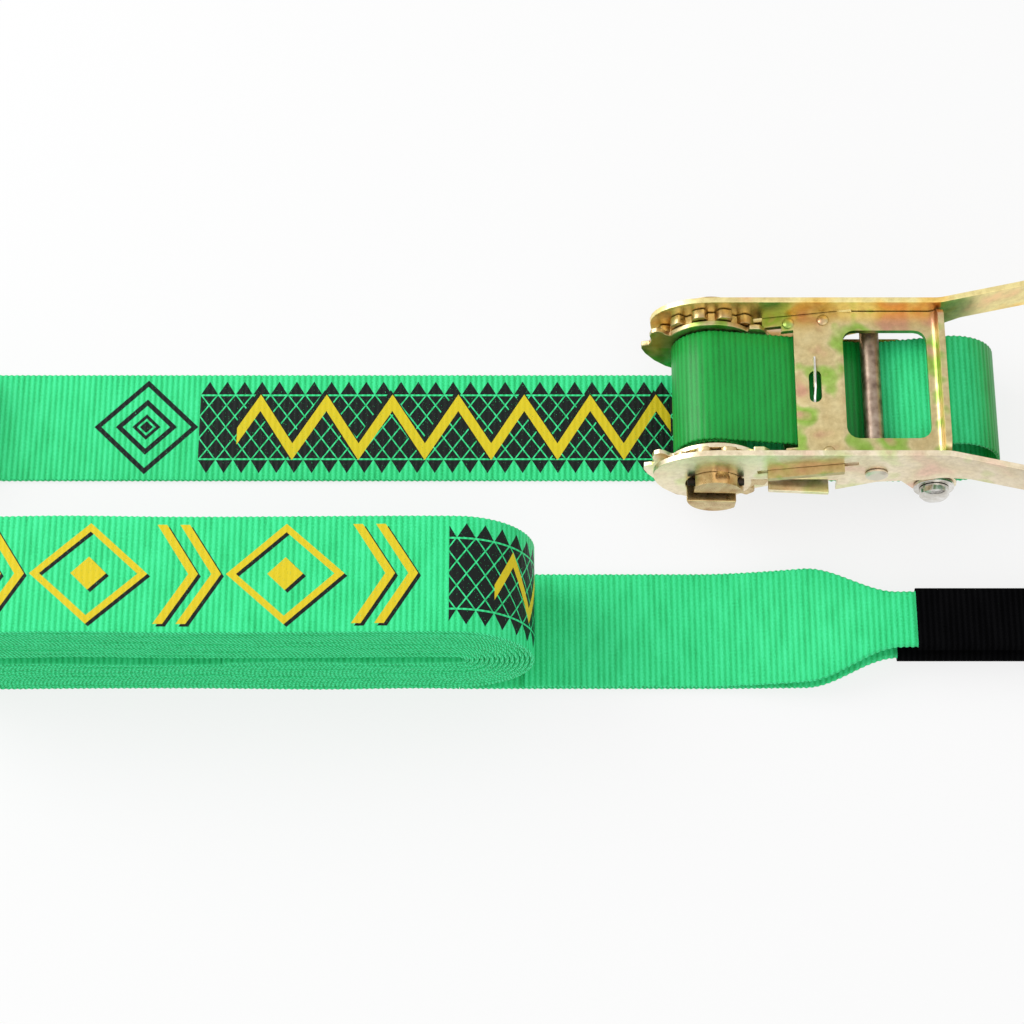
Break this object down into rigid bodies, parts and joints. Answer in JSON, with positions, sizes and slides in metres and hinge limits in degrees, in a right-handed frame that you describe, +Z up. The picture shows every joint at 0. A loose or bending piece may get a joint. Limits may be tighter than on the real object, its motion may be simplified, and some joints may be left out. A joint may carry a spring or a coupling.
{
  "type": "slackline",
  "caption": "Slackline kit: hand ratchet with toothed wheels and sliding pawls on a short webbing strap, beside the long webbing line wound flat with a sleeved eye.",
  "frame": {"origin": "on the floor, under the middle of the ratchet", "axes": "+X from the spindle to the handle's grip, +Y away from the wound line, +Z up"},
  "size_m": [0.6159, 0.1645, 0.0628],
  "materials": {
    "zinc_steel": "yellow zinc plated pressed steel",
    "rod_steel": "dull brown plated rod",
    "bright_steel": "bright plated",
    "green_webbing": "ribbed woven polyester",
    "black_sleeve": "black woven sleeve"
  },
  "bodies": {
    "frame": {"base_plate_far": "zinc_steel", "base_plate_near": "zinc_steel", "anchor_bolt": "bright_steel", "anchor_washer": "bright_steel", "anchor_sleeve": "rod_steel", "anchor_nut": "bright_steel", "ratchet_strap": "green_webbing", "ratchet_strap_roll": "green_webbing", "line_roll": "green_webbing", "line_tail": "green_webbing", "line_eye": "green_webbing", "line_sleeve": "black_sleeve"},
    "spindle": {"spindle_half_upper": "zinc_steel", "spindle_half_lower": "zinc_steel", "roll_pin_near": "rod_steel", "roll_pin_far": "rod_steel", "ratchet_wheel_far": "zinc_steel", "ratchet_wheel_near": "zinc_steel", "spindle_winding": "green_webbing"},
    "handle": {"handle_side_far": "zinc_steel", "handle_side_near": "zinc_steel", "cross_rod": "rod_steel", "grip_rod": "rod_steel", "grip_tube": "zinc_steel"},
    "drive_pawl": {"drive_pawl": "zinc_steel", "drive_pawl_spring": "bright_steel"},
    "lock_pawl": {"lock_pawl": "zinc_steel"}
  },
  "joints": [
    {"name": "spindle_turn", "type": "hinge", "parent": "frame", "child": "spindle", "pos_m": [-0.094, 0, 0.026], "axis": [0, -1, 0], "continuous": true},
    {"name": "handle_swing", "type": "hinge", "parent": "frame", "child": "handle", "pos_m": [-0.094, 0, 0.026], "axis": [0, -1, 0], "range_deg": [0, 120]},
    {"name": "drive_pawl_slide", "type": "slide", "parent": "handle", "child": "drive_pawl", "axis": [0.9774, 0, 0.2113], "range_m": [-0.0034, 0.0052], "stiffness_N_per_m": 300},
    {"name": "lock_pawl_slide", "type": "slide", "parent": "frame", "child": "lock_pawl", "axis": [0.9945, 0, -0.1045], "range_m": [-0.0038, 0.0015], "stiffness_N_per_m": 300}
  ]
}
